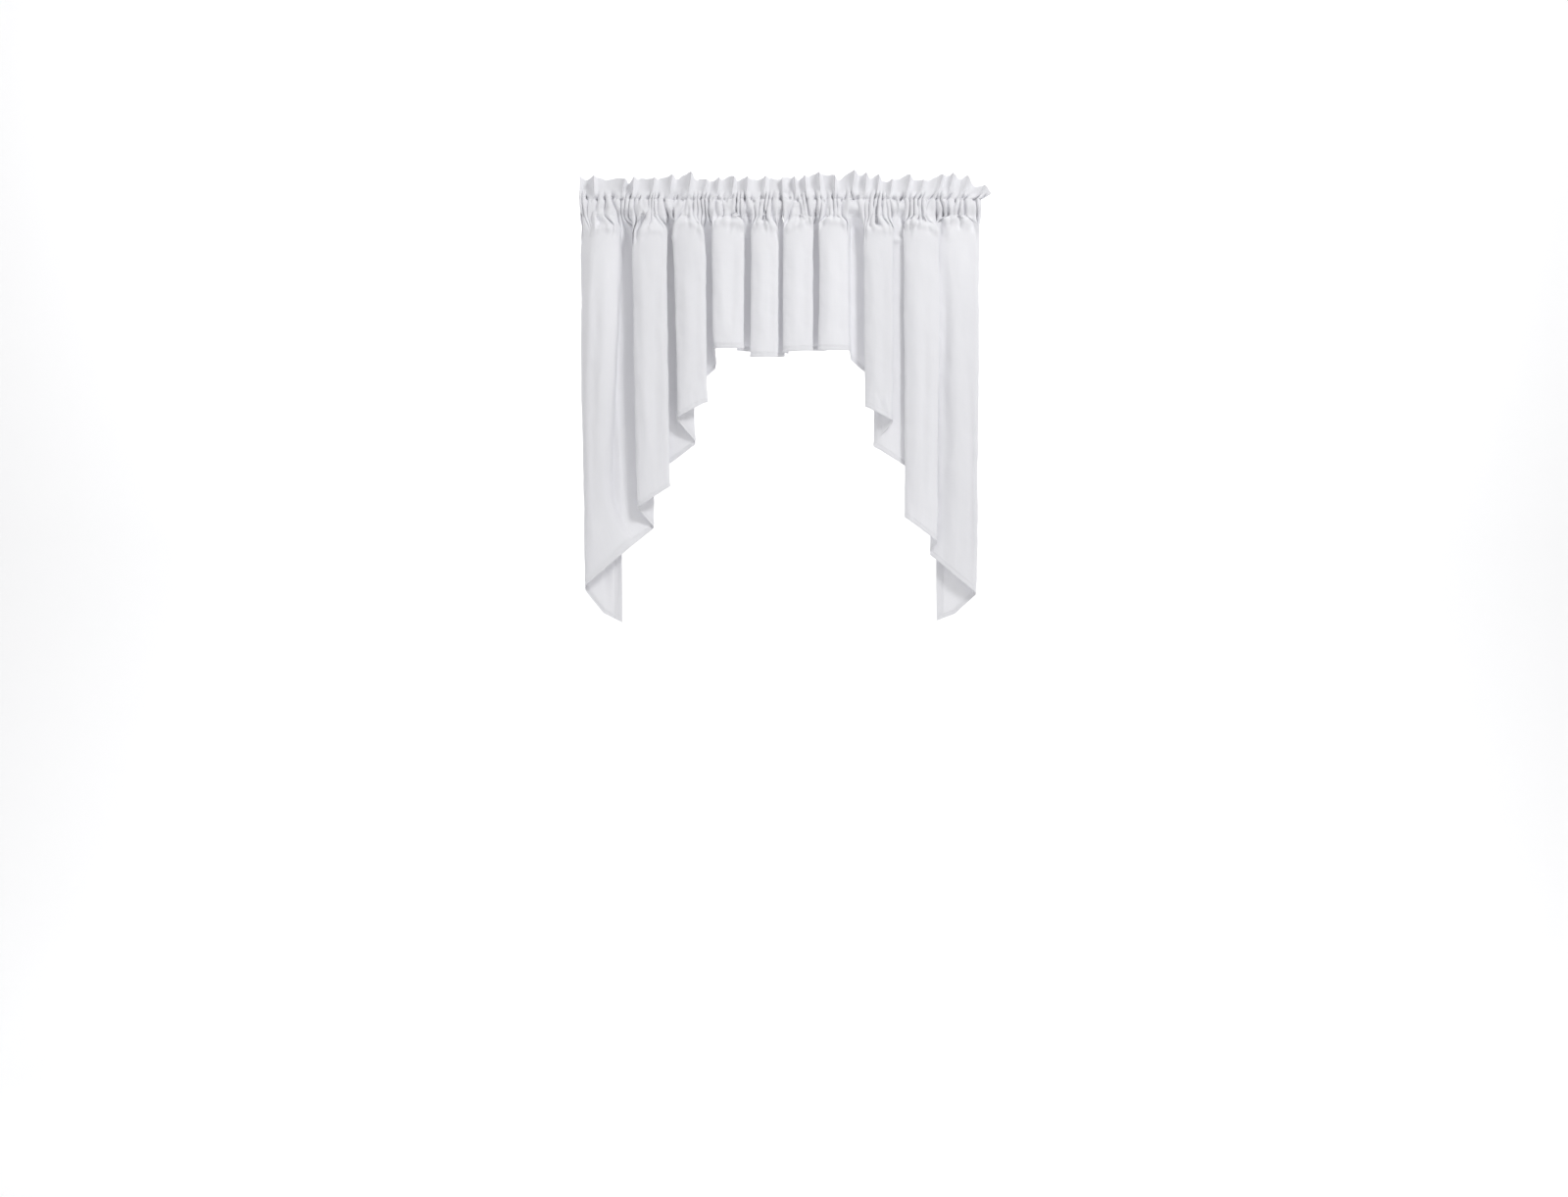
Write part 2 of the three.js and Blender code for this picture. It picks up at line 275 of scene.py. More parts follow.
RIGHT_TURNS = [
    Turn(0.4, 12, 0, 0, 0, 8, 0, -318, -62),  # middle edge
    Turn(2.5, 1.5, 0, 0, 0, -11, 13, -316, -60, 14, 0.76),  # sixth pipe
    Turn(62, 65, -1, 0, 0, -14, 0, -313, -36),
    Turn(68, 51, 0, 0, 0, 7, -3, -311, -62),
    Turn(76, 93, 0, 0, 0, 8, 0, -311, -62),
    Turn(82, 78, -1, 0, 0, -12, 13, -312, -44, 14, 0.38),  # seventh pipe
    Turn(138, 142, 1, 0, 0, -13, 0, -313, -40),
    Turn(145, 147, 0, 0, 0, 12, -4, -331, -62),
    Turn(162, 192, 0, 0, 0, 15, 0, -372, -62),
    Turn(173, 176, 2, 0, 0, -12, 13, -433, -50, 2, 0.5),  # eighth pipe
    Turn(233, 239, 0, 0, 0, -14, 0, -465, -50),
    Turn(240, 204, -4, 0, 0, 12, 13, -518, -66),
    Turn(256, 300, 0, 0, 0, 15, 0, -586, -66),
    Turn(267, 261, 4, 0, 0, -12, 13, -672, -55, 24, 0.35),  # ninth pipe
    Turn(328, 338, -5, 0, 0, -14, 0, -727, -64),
    Turn(336, 324, -3, 0, 0, 8, 9, -752, -68, 38, 0.38),
    Turn(415, 425, -4, -6, 0, -8, 0, -838, -52),  # tenth pipe, ending at the outer edge
    Turn(421, 424, -4, -6, 0, 10, 0, -845, -62),
    Turn(426, 380, -4, -3, 43, 17, 0, -883, -64),
    Turn(429, 337, -4, 0, 85, 22, 0, -898, -66),  # side edge, turned behind
]

# The header's top edge, one petal of the ruffle after another: x, depth and height.
LEFT_PETALS = [
    (-440, -6, 68), (-430, 8, 62), (-411, -12, 67), (-402, 9, 65), (-343, -12, 61), (-336, 9, 54),
    (-323, -11, 66), (-313, 9, 62), (-279, -12, 65), (-270, 8, 62), (-240, -11, 71), (-231, 9, 65),
    (-199, -13, 74), (-190, 9, 65), (-166, -8, 60), (-157, 8, 58), (-139, -12, 65), (-129, 9, 62),
    (-107, -11, 69), (-98, 8, 60), (-77, -13, 64), (-60, 9, 62), (-38, -12, 67), (-28, 8, 63), (2, 7, 66),
]
RIGHT_PETALS = [
    (-2, -6, 66), (14, 8, 65), (25, -11, 68), (34, 8, 62), (47, -12, 66), (58, 8, 70), (78, -12, 76),
    (88, 9, 72), (112, -10, 68), (122, 8, 64), (155, -12, 79), (166, 8, 72), (181, -13, 74), (191, 9, 64),
    (208, -9, 70), (218, 8, 60), (236, -12, 59), (246, 9, 62), (275, -13, 72), (285, 8, 62),
    (304, -8, 58), (314, 9, 62), (346, -13, 70), (355, 9, 70), (370, -10, 75), (384, 9, 64),
    (402, -11, 66), (415, 8, 50), (436, -8, 46), (452, 2, 33),
]

# Soft creases of the gathers and of the hanging cloth, in millimetres.
# turn and share: the stretch of cloth and how far along it. top and foot: heights of its ends.
# slant: how far it moves along the cloth on the way down. width and rise: its section, forward if positive.
Crease = namedtuple("Crease", "turn share top foot slant width rise")
LEFT_CREASES = [
    (3, 0.2, 4, -62, 10, 5, 3.4), (3, 0.42, 0, -58, -10, 4, -3.6), (3, 0.62, 8, -66, 4, 6, 3.0),
    (7, 0.2, 0, -74, -8, 5, -3.4), (7, 0.45, 6, -62, 6, 6, 3.2), (7, 0.75, 2, -66, 12, 5, -3.0),
    (11, 0.22, 0, -84, -14, 5, 3.6), (11, 0.5, 8, -56, 0, 4, -4.0), (11, 0.74, 0, -86, 14, 5, 3.4),
    (15, 0.3, 6, -44, -6, 5, -3.0), (15, 0.8, 2, -58, 10, 5, 4.0), (15, 0.92, 0, -54, 8, 3, -4.0),
    (19, 0.3, 6, -60, -2, 5, 3.2), (19, 0.5, 4, -64, 2, 4, -3.6), (19, 0.76, 4, -56, 8, 5, 3.2),
    (0, 0.25, -560, -895, 3, 6, 2.2), (0, 0.45, -600, -890, 2, 5, -2.0), (0, 0.75, -540, -880, 4, 8, 2.4),
    (3, 0.18, -90, -780, 8, 9, 1.7), (3, 0.36, -70, -740, 8, 12, -2.5),
    (3, 0.62, -90, -620, -12, 13, 2.5), (3, 0.85, -120, -690, 6, 8, -1.8),
    (5, 0.4, -130, -690, 12, 14, -2.7), (5, 0.75, -260, -660, -8, 10, 2.0),
    (7, 0.28, -80, -560, 5, 10, 2.5), (7, 0.66, -110, -610, -6, 11, -2.4),
    (7, 0.86, -300, -640, 4, 7, 1.7), (9, 0.45, -100, -560, 6, 12, -2.2),
    (11, 0.42, -90, -400, -6, 11, 2.2), (11, 0.7, -120, -420, -3, 9, -2.0),
    (11, 0.8, -350, -450, 18, 5, 1.7), (11, 0.5, -395, -455, 16, 4, -1.4),
    (15, 0.3, -60, -300, 4, 11, 2.1), (15, 0.68, -60, -280, -5, 9, -2.0),
    (19, 0.36, -70, -320, 4, 11, 2.0), (19, 0.7, -80, -320, 2, 8, -1.8),
]
RIGHT_CREASES = [
    (1, 0.3, 0, -62, -10, 5, 3.2), (1, 0.6, 12, -52, 12, 5, -4.2), (1, 0.8, 8, -44, 6, 5, 3.4),
    (5, 0.25, 6, -52, -8, 4, -3.6), (5, 0.7, 4, -54, 12, 5, 3.4), (9, 0.25, 6, -52, 4, 5, 3.6),
    (9, 0.5, 4, -48, -4, 4, -4.2), (9, 0.72, 8, -54, 2, 6, 3.4), (13, 0.3, 6, -50, 0, 6, 3.4),
    (13, 0.6, 4, -66, 10, 4, -3.8), (13, 0.82, 4, -72, 8, 5, 3.2), (15, 0.16, 8, -72, 2, 5, -4.0),
    (15, 0.36, 12, -80, 2, 8, 3.2), (15, 0.6, 12, -56, -2, 4, -4.6), (15, 0.74, 10, -54, 4, 4, 3.6),
    (15, 0.88, 12, -60, -2, 4, -4.0), (1, 0.36, -60, -300, 4, 11, 2.1), (1, 0.72, -70, -310, -3, 9, -2.0),
    (5, 0.32, -60, -300, 3, 11, 2.1), (5, 0.68, -80, -310, 2, 9, -2.0), (7, 0.5, -70, -320, 2, 10, -1.8),
    (9, 0.3, -80, -430, 5, 11, 2.2), (9, 0.68, -90, -450, -4, 10, -2.1),
    (9, 0.4, -395, -452, 20, 5, -1.5), (9, 0.66, -405, -458, 14, 4, 1.5),
    (11, 0.5, -100, -520, 6, 12, -2.2), (13, 0.3, -80, -640, 6, 13, 2.5),
    (13, 0.55, -130, -600, 3, 9, -1.7), (13, 0.78, -110, -690, -5, 11, 2.2),
    (15, 0.28, -60, -740, 3, 11, -3.0), (15, 0.5, -90, -790, 8, 14, 2.5),
    (15, 0.78, -300, -830, 14, 9, -2.4), (15, 0.92, -420, -835, 5, 7, 1.7),
    (18, 0.3, -600, -880, 4, 10, 2.0),
]

# The fold curve's control places along a stretch of cloth, and what share of the bow each bulges.
STRETCH_PLACES = (0, 0.12, 0.5, 0.88)
STRETCH_BOWS = (0, 0.56, 0.94, 0.56)

# How softly the cloth turns, and how far its corners reach out for that, in millimetres.
TURN_SOFTNESS = 6
TURN_REACH = 2.6

# How deep the recesses between the pipes are, as a share of the table's depths.
RECESS_DEPTH = 0.75

# Fineness of the cloth's grid, in millimetres along it or in rows. The side hems' columns are in
# millimetres and the bottom hem's rows in shares of its depth, with the stitches' line among them. The
# header's rows crowd towards the sewing.
COLUMN_SPACING = 3.0
GATHER_SPACING = 1.4
FINE_STEPS = 60
LEAST_COLUMNS = 7
HEM_TURN_STEPS = (0.35, 0.9, 1.8, 3.4, 5.4, 7.2, 9.0, 11.2, 13.0)
HEM_ROWS = (1, 0.93, 0.86, 0.78, 0.55, 0.3, 0.12, 0.04)
STITCH_LINE = 0.86
SIDE_STITCHES = 11.2
ROW_OVER_HEM = 1.12
FIRST_ROW = 1.3
CROWDING = 1.15
GATHERED_ROWS = 36
POCKET_ROWS = 18
HEADER_ROWS = 18
BACK_ROWS = 13

# The studio, in metres and degrees: its sweep, the camera's middle and reach, and each lamp's place, aim
# and width.
STAGE_WIDTH = 16
STAGE_FLOOR = -2.25
STAGE_FRONT = -7.5
STAGE_BACK = 4.6
STAGE_RADIUS = 1.6
STAGE_STEP = 7.5
STAGE_TOP = 4.0
STAGE_ROUGH = 0.85
STAGE_GRAIN = 0.05
VIEW_MIDDLE = 0.002
VIEW_END = 60
LAMPS = {
    "key_light": ((1.9, -2.7, 2.4), (0, 0, -0.4), 0.9),
    "fill_light": ((-3.2, -1.6, -0.6), (0, 0, -0.6), 1.6),
    "backdrop_light": ((0, 1.8, 2.6), (0, 4.6, -0.8), 4.0),
}


def smooth(t):
    """A soft step from 0 to 1."""
    t = np.clip(t, 0, 1)
    return t * t * (3 - 2 * t)


def mix(a, b, t):
    """The value a share t of the way from a to b."""
    return a + (b - a) * t


def bump(distance, width):
    """A soft bump of height 1, from how far away its middle is."""
    return np.exp(-((distance / width) ** 2))


def column(rows, name):
    """One named column of a table, as an array."""
    return np.array([getattr(row, name) for row in rows], float)


def eased(count):
    """Shares from 0 to 1, closer together at both ends."""
    return (1 - np.cos(np.linspace(0, math.pi, count + 1))) / 2


def smooth_path(points, places):
    """Points on a centripetal curve through the given points. Places count in points."""
    before, after = 2 * points[0] - points[1], 2 * points[-1] - points[-2]
    path = np.vstack([before, points, after])
    first = np.clip(places.astype(int), 0, len(points) - 2)
    t = (places - first)[:, None]
    p0, p1, p2, p3 = (path[first + k] for k in range(4))

    def gap(a, b):
        return np.maximum(np.linalg.norm(b - a, axis=1, keepdims=True) ** 0.5, LEAST_GAP)

    g0, g1, g2 = gap(p0, p1), gap(p1, p2), gap(p2, p3)
    leave = ((p1 - p0) / g0 - (p2 - p0) / (g0 + g1) + (p2 - p1) / g1) * g1
    arrive = ((p2 - p1) / g1 - (p3 - p1) / (g1 + g2) + (p3 - p2) / g2) * g1
    square = -3 * p1 + 3 * p2 - 2 * leave - arrive
    cube = 2 * p1 - 2 * p2 + leave + arrive
    return p1 + leave * t + square * t**2 + cube * t**3


def fold_curve(turns, drop, places):
    """The folds seen from above at a share of the way down, as x, depth and hem height.

    Places count in stretches from one turn to the next. The cloth rounds each turn softly, while the
    height of its hem goes on changing all the way round.
    """
    swing = column(turns, "drift") * drop + column(turns, "flare") * drop**FLARE_POWER
    swing += column(turns, "lag") * (1 - drop) ** LAG_POWER
    opening = np.clip(column(turns, "flare") / FULL_FLARE, 0, 1) * drop**OPENING_POWER
    corners = np.column_stack([column(turns, "x") + swing, column(turns, "depth"), column(turns, "hem")])
    corners[:, 1] *= np.where(corners[:, 1] > 0, RECESS_DEPTH, 1)
    corners[:, 1] *= 1 - opening
    inner = corners[1:-1, 0]
    outward = np.sign(inner - corners[:-2, 0]) + np.sign(inner - corners[2:, 0])
    corners[1:-1, 0] += TURN_REACH * outward / 2
    points = []
    for here, ahead, turn in zip(corners, corners[1:], turns):
        for share, bow in zip(STRETCH_PLACES, STRETCH_BOWS):
            point = mix(here, ahead, share)
            point[1] -= turn.bow * bow
            points.append(point)
    points.append(corners[-1])
    stretches = len(turns) - 1
    fine = np.linspace(0, stretches, stretches * FINE_STEPS + 1)
    return softened(smooth_path(np.array(points), fine * len(STRETCH_PLACES)), fine, places)


def softened(line, fine, places):
    """A line of x, depth and height with its turns rounded off, at the places asked for."""
    along = np.concatenate([[0], np.cumsum(np.linalg.norm(np.diff(line[:, :2], axis=0), axis=1))])
    even = np.linspace(0, along[-1], round(along[-1]) + 1)
    reach = 3 * TURN_SOFTNESS
    kernel = bump(np.arange(-reach, reach + 1), TURN_SOFTNESS * math.sqrt(2))
    kernel /= kernel.sum()
    spots = np.interp(places, fine, along)
    result = [np.interp(spots, along, line[:, k]) for k in range(3)]
    for k in range(2):
        plain = np.interp(even, along, line[:, k])
        once = soften_ends(plain, kernel, reach)
        result[k] = np.interp(spots, even, soften_ends(2 * plain - once, kernel, reach))
    return np.column_stack(result)


def soften_ends(values, kernel, reach):
    """A running mean that keeps the end values where they are."""
    before = 2 * values[0] - values[reach:0:-1]
    after = 2 * values[-1] - values[-2 : -reach - 2 : -1]
    return np.convolve(np.concatenate([before, values, after]), kernel, "valid")


class Wander:
    """A smooth uneven value along a line or over a surface, the same at each run."""

    def __init__(self, seed, count, longest, shortest):
        chance = np.random.default_rng(seed)
        self.pitch = np.geomspace(longest, shortest, count)
        self.phase = chance.uniform(0, 2 * math.pi, (2, count))
        self.share = self.pitch / self.pitch.sum()

    def __call__(self, along, across=0.0):
        total = 0.0
        for pitch, start, tilt, share in zip(self.pitch, *self.phase, self.share):
            wave = 2 * math.pi * along / pitch + start
            sway = np.sin(across / pitch * WAVE_FINENESS + tilt)
            total = total + share * np.sin(wave + WAVE_SWAY * sway)
        return total * WAVE_SIZE


class Cloth:
    """One curtain as rows and columns of cloth, in millimetres.

    Columns run along the pocket, with the turned side hems at both ends. Rows run from the turned
    hem at the back, round the bottom edge, up the front, over the header's top and down its back ply
    to the lower row of sewing.
    """

    def __init__(self, turns, petals, creases, sizes, seed):
        self.turns, self.petals, self.creases, self.sizes = turns, petals, creases, sizes
        self.hem_depth = sizes.hem / MM
        self.side_depth = sizes.side_hem / MM
        self.lap = sizes.lap / MM
        self.spread = Wander(seed, 4, 130, 31)  # the gathers' places
        self.reach = Wander(seed + 1, 5, 90, 17)  # how far down they run
        self.ripple = Wander(seed + 2, 6, 150, 18)  # soft ripples of the hanging cloth
        self.strength = Wander(seed + 3, 4, 70, 23)  # the gathers' depth
        self.bend = Wander(seed + 4, 3, 95, 38)  # their bends on the way down
        self.sway = Wander(seed + 5, 3, 420, 150)  # the sway of whole pipes
        self.pucker = Wander(seed + 6, 5, 46, 9)  # puckers of the hem and the petals' edge
        self.wrinkle = Wander(seed + 7, 5, 90, 16)  # slanting wrinkles
        self.pinch = Wander(seed + 8, 4, 19, 6.5)  # pinches of the header's sewing
        self.rows = []
        self.sewn = {}
        self.lay_columns()
        self.levels = np.array([fold_curve(turns, level, self.place)[:, :2] for level in FOLD_LEVELS])
        depth = self.levels[0][:, 1]
        self.seam = np.where(depth < 0, PIPE_PULL, RECESS_PULL) * depth
        self.forward = np.clip((PIPE_FROM - depth) / PIPE_OVER, 0, 1)
        self.build_rows()

    def lay_columns(self):
        """Places along the cloth, and what the table of turns says at each."""
        turns = self.turns
        stretches = len(turns) - 1
        fine = np.linspace(0, stretches, stretches * FINE_STEPS + 1)
        line = fold_curve(turns, MEASURED_AT, fine)[:, :2]
        flat = np.concatenate([[0], np.cumsum(np.linalg.norm(np.diff(line, axis=0), axis=1))])
        sewn = np.diff(column(turns, "pocket"))
        places = []
        for k in range(stretches):
            length = flat[(k + 1) * FINE_STEPS] - flat[k * FINE_STEPS]
            count = max(LEAST_COLUMNS, round(length / COLUMN_SPACING), round(sewn[k] / GATHER_SPACING))
            places.extend(k + np.arange(count) / count)
        places.append(stretches)
        main = np.array(places)
        self.width = flat[-1]
        side = np.array(HEM_TURN_STEPS) * self.side_depth / HEM_TURN_STEPS[-1]
        start = np.interp(side, flat, fine)
        end = np.interp(self.width - side, flat, fine)
        stitched = HEM_TURN_STEPS.index(SIDE_STITCHES)
        for place in (start[stitched], end[stitched]):
            main[np.argmin(abs(main - place))] = place
        self.place = np.concatenate([start[::-1], main, end])
        self.turned = np.concatenate([side[::-1], np.zeros(len(main)), side])
        self.flat = np.interp(self.place, fine, flat)
        self.laid = np.concatenate([-side[::-1], np.interp(main, fine, flat), self.width + side])
        first = len(side)
        self.side_lines = [
            int(first + np.argmin(abs(main - start[stitched]))),
            int(first + np.argmin(abs(main - end[stitched]))),
            first - 1 - stitched,
            first + len(main) + stitched,
        ]
        self.stretch = np.clip(self.place.astype(int), 0, stretches - 1)
        self.share = self.place - self.stretch
        self.pocket = np.interp(self.place, np.arange(len(turns)), column(turns, "pocket"))
        self.hem = fold_curve(turns, 1, self.place)[:, 2]
        crown = column(turns, "crown")
        arch = np.clip(4 * self.share * (1 - self.share), 0, 1)
        apex = column(turns, "apex")[self.stretch]
        rise = np.minimum(self.share / apex, (1 - self.share) / (1 - apex))
        self.crown = mix(crown[self.stretch], crown[self.stretch + 1], self.share)
        self.crown += column(turns, "peak")[self.stretch] * np.sin(math.pi / 2 * rise)
        self.bow = column(turns, "bow")[self.stretch] * arch

    def gather(self, height):
        """The sewn gathers at a height: how far forward or back, and the lean of their sides.

        Forward they are rounded ridges, and between them narrow pinched hollows.
        """
        pitch = self.sizes.gather_pitch / MM
        turn = self.pocket / pitch + GATHER_SPREAD * self.spread(self.pocket)
        turn += GATHER_BEND * self.bend(self.pocket, height)
        roundness = GATHER_ROUND + ROUND_SPREAD * self.bend(self.pocket * ROUND_FINENESS)
        roundness = np.clip(roundness, *ROUND_LIMITS)
        hollow = (np.sin(math.pi * turn) ** 2 + BLUNTNESS) ** roundness
        size = 1 + DEPTH_SPREAD * self.strength(self.pocket, height * DEPTH_STREAK)
        depth = self.sizes.gather_depth / MM * np.clip(size, *DEPTH_LIMITS)
        return depth * (1 - 2 * hollow), -GATHER_LEAN * pitch * np.sin(2 * math.pi * turn)

    def puckered(self, height):
        """How far the header's sewn row pulls the cloth back in short pinches."""
        row = POCKET_TOP + SEAM_RAGGED * self.bend(self.pocket * SEAM_FINENESS)
        share = np.clip(PUCKER_SHARE + self.pinch(self.pocket), 0, PUCKER_LIMIT)
        return SEAM_PUCKER * share * bump(height - row, PUCKER_HEIGHT)

    def folded_at(self, drop):
        """The fold curve, at a share of the way down that differs from column to column."""
        spot = drop * (len(self.levels) - 1)
        low = np.clip(spot.astype(int), 0, len(self.levels) - 2)
        index = np.arange(len(self.place))
        return mix(self.levels[low, index], self.levels[low + 1, index], (spot - low)[:, None])

    def hanging(self, height):
        """Points of the cloth under the pocket at a height for each column."""
        folded = self.folded_at(np.clip((SHOULDER - height) / (SHOULDER - self.hem), 0, 1))
        below = POCKET_BOTTOM - height
        full = POCKET_BOTTOM - self.crown
        step = np.clip(below / full, 0, 1)
        bulge, lean = self.gather(np.maximum(height, SHOULDER))
        recess = smooth(step**DEPTH_LEAD)
        pipe = smooth((step - CROWN_START) / (1 - CROWN_START))
        x = mix(self.pocket + lean, folded[:, 0], smooth(step))
        depth = mix(self.seam, folded[:, 1], mix(recess, pipe, self.forward))
        reach = mix(RECESS_REACH, PIPE_REACH, self.forward) * (1 + REACH_SPREAD * self.reach(self.laid))
        way = (1 - FADE_START) * full + np.maximum(reach, LEAST_REACH)
        fade = 1 - smooth((below - FADE_START * full) / way)
        bulge = bulge * (1 - RIDGE_LOST * pipe * self.forward)
        depth = depth + bulge * fade * mix(RIDGE_HELD, 1, smooth(below / SEAM_HOLD))
        rim = (self.crown - height) / RIM_WIDTH - RIM_PLACE
        depth = depth - RIM_RISE * self.bow * np.exp(-(rim**2))
        return np.column_stack([x, depth, height])

    def pocket_row(self, step, side):
        """Points of the pocket's front ply (side -1) or back ply (side 1), from its top down.

        The front ply runs on into the folds without a break. The back ply is sewn flat to it.
        """
        height = mix(POCKET_TOP, POCKET_BOTTOM, step)
        opening = math.sin(math.pi * step) ** POCKET_ROUND
        if side < 0 and step > 0.5:
            opening = 1 - smooth(2 * step - 1)
        bulge, lean = self.gather(height)
        shut = mix(SEAM_FORWARD, self.seam, smooth(step)) + bulge * RIDGE_HELD + side * SEAM_HALF_DEPTH
        held_open = side * np.maximum(POCKET_HALF_DEPTH + side * RIDGE_HELD * bulge, ROD_CLEARANCE)
        depth = mix(shut, held_open, opening) + self.puckered(height)
        return np.column_stack([self.pocket + lean, depth, np.full_like(depth, height)])

    def petal_edge(self):
        """The header's top edge: sharp where a petal comes forward and wide where it goes back."""
        petals = np.array(self.petals, float)
        even = np.linspace(0, 1, len(petals))
        spread = (petals[:, 0] - petals[0, 0]) / (petals[-1, 0] - petals[0, 0])
        share = (self.pocket - self.pocket[0]) / (self.pocket[-1] - self.pocket[0])
        across = np.interp(share, mix(even, spread, PETAL_PLACING), np.arange(len(petals)))
        edge = smooth_path(petals, across)
        low = np.clip(across.astype(int), 0, len(petals) - 2)
        here, ahead = petals[low, 1], petals[low + 1, 1]
        away = np.clip(np.where(here < ahead, across - low, 1 - across + low), 0, 1)
        reach = np.sin(math.pi / 2 * away) ** PETAL_SHARP
        edge[:, 1] = PETAL_SWING * (np.minimum(here, ahead) + abs(ahead - here) * reach)
        edge[:, 1] -= PETAL_RIDGE * bump(away, PETAL_RIDGE_WIDTH)
        edge[:, 2] += PETAL_RAGGED * self.pucker(self.pocket) - PETAL_RAGGED
        return edge

    def header_row(self, step, side):
        """Points of the header's front or back ply, from the sewn row up to the petals' edge."""
        edge = self.petal_edge()
        height = mix(POCKET_TOP, edge[:, 2], step)
        bulge, lean = self.gather(height)
        weight = step**PETAL_OPENING
        x = mix(self.pocket + lean, edge[:, 0] + PETAL_LEAN * lean, weight)
        flop = (FLOP_SPREAD * self.sway(self.pocket * FLOP_FINENESS, FLOP_LINE) - HEADER_FLOP) * weight
        pleat = HEADER_RIPPLE * self.ripple(self.pocket * HEADER_FINENESS, HEADER_SPAN * step) * step
        pinch = bulge * RIDGE_HELD * (1 - smooth(step / GATHERS_END))
        depth = mix(SEAM_FORWARD, edge[:, 1], weight) + pinch + pleat + flop + self.puckered(height)
        puff = SEAM_HALF_DEPTH + PLY_GAP * (1 - math.exp(-PLY_PARTING * step))
        puff += PLY_BELLY * math.sin(math.pi * step)
        return np.column_stack([x, depth + side * puff, height])

    def add_row(self, points, laid, turned=False, sewn=None):
        """Adds one row of points, with how far up the cloth it lies and the name of its stitches."""
        if sewn:
            self.sewn[sewn] = len(self.rows)
        self.rows.append((points, laid, turned))

    def build_rows(self):
        """All rows in sewing order, with how far up the cloth each lies."""
        slope = np.gradient(self.hem) / np.maximum(np.gradient(self.laid), LEAST_SPACING)
        slope[self.turned > 0] = 0
        stretch = np.sqrt(1 + np.clip(slope, -SLOPE_LIMIT, SLOPE_LIMIT) ** 2)
        plies = (("hem_back", -1, HEM_ROWS), ("hem_front", 1, (0, *HEM_ROWS[::-1], ROW_OVER_HEM)))
        for name, side, shares in plies:
            for share in shares:
                away = self.hem_depth * share * stretch
                sewn = name if share == STITCH_LINE else None
                self.add_row(self.hanging(self.hem + away), side * away, turned=side < 0, sewn=sewn)
        start = self.hem + self.hem_depth * FIRST_ROW * stretch
        for share in np.linspace(0, 1, self.sizes.hanging_rows):
            height = mix(start, FOLDS_SET, share)
            self.add_row(self.hanging(height), height - self.hem)
        for height in np.linspace(FOLDS_SET, POCKET_BOTTOM, GATHERED_ROWS)[1:-1]:
            level = np.full_like(self.hem, height)
            self.add_row(self.hanging(level), level - self.hem)
        self.front_rows = len(self.rows)
        laid = POCKET_BOTTOM - self.hem
        for step in 1 - eased(POCKET_ROWS):
            self.add_row(self.pocket_row(step, -1), laid + POCKET_PLY * (1 - step))
        self.sewn["pocket_front"] = self.front_rows
        self.sewn["header_front"] = len(self.rows) - 1
        laid = laid + POCKET_PLY
        heights = np.linspace(0, 1, HEADER_ROWS + 1) ** CROWDING
        for step in heights[1:]:
            self.add_row(self.header_row(step, -1), laid + HEADER_PLY * step)
        laid = laid + (HEADER_PLY + CREST_PLY)
        crest = (self.header_row(1, -1) + self.header_row(1, 1)) / 2 + [0, 0, CREST_RISE]
        self.crest_row = len(self.rows)
        self.add_row(crest, laid)
        for step in heights[:0:-1]:
            self.add_row(self.header_row(step, 1), laid + CREST_PLY + HEADER_PLY * (1 - step))
        laid = laid + (HEADER_PLY + CREST_PLY)
        for step in eased(BACK_ROWS):
            self.add_row(self.pocket_row(step, 1), laid + POCKET_PLY * step)
        self.sewn["pocket_back"] = len(self.rows) - 1
        self.sewn["header_back"] = len(self.rows) - 1 - BACK_ROWS
        edge = self.hanging(np.full_like(self.hem, POCKET_BOTTOM - EDGE_DROP)) + [0, EDGE_BEHIND, 0]
        self.add_row(edge, laid + (POCKET_PLY + EDGE_PLY))

    def surface(self):
        """The rows as one grid of points, with creases, uneven fall and turned hems."""
        grid = np.array([points for points, _, _ in self.rows])
        laid_up = np.array([laid for _, laid, _ in self.rows])
        turned = np.array([turned for _, _, turned in self.rows])
        height = grid[:, :, 2]
        flat = self.flat[None, :]
        hang = smooth((SHOULDER + HANG_START - height) / HANG_OVER)
        free = np.minimum(abs(self.pocket) / MIDDLE_HELD, 1)
        grid[:, :, 0] += SWAY * self.sway(flat, height) * hang * free
        inward = grid_normals(grid)
        inward[turned] *= -1
        inward[:, self.turned > 0] *= -1
        rise = RIPPLE * self.ripple(flat, height * RIPPLE_STREAK) * hang
        from_hem = abs(laid_up)
        rise += HEM_PUCKER * self.pucker(flat, height * PUCKER_STREAK) * np.exp(-from_hem / PUCKER_FADE)
        rise += HEM_SWELL * bump(from_hem - self.hem_depth * SWELL_PLACE, self.hem_depth * SWELL_WIDTH)
        slanted = flat * WRINKLE_SLANT[0] + height * WRINKLE_SLANT[1]
        rise += WRINKLE * self.wrinkle(slanted, height - flat) * hang
        for crease in self.creases:
            rise += self.crease_rise(Crease(*crease), height)
        rise[self.sewn["header_front"] :] = 0
        round_side = 1 - np.exp(-self.turned / SIDE_ROUND)
        round_hem = 1 - np.exp(-from_hem / HEM_ROUND)
        behind = np.broadcast_to(self.lap * round_side, rise.shape).copy()
        behind[turned] += self.lap * (round_hem[turned] + CORNER_LAP * np.sign(self.turned))
        groove = HEM_GROOVE * bump(from_hem - self.hem_depth * STITCH_LINE, GROOVE_WIDTH)
        groove[self.front_rows :] = 0
        side = np.minimum(self.flat, self.width - self.flat)
        groove += SIDE_GROOVE * bump(side - self.side_depth * STITCH_LINE, SIDE_WIDTH)
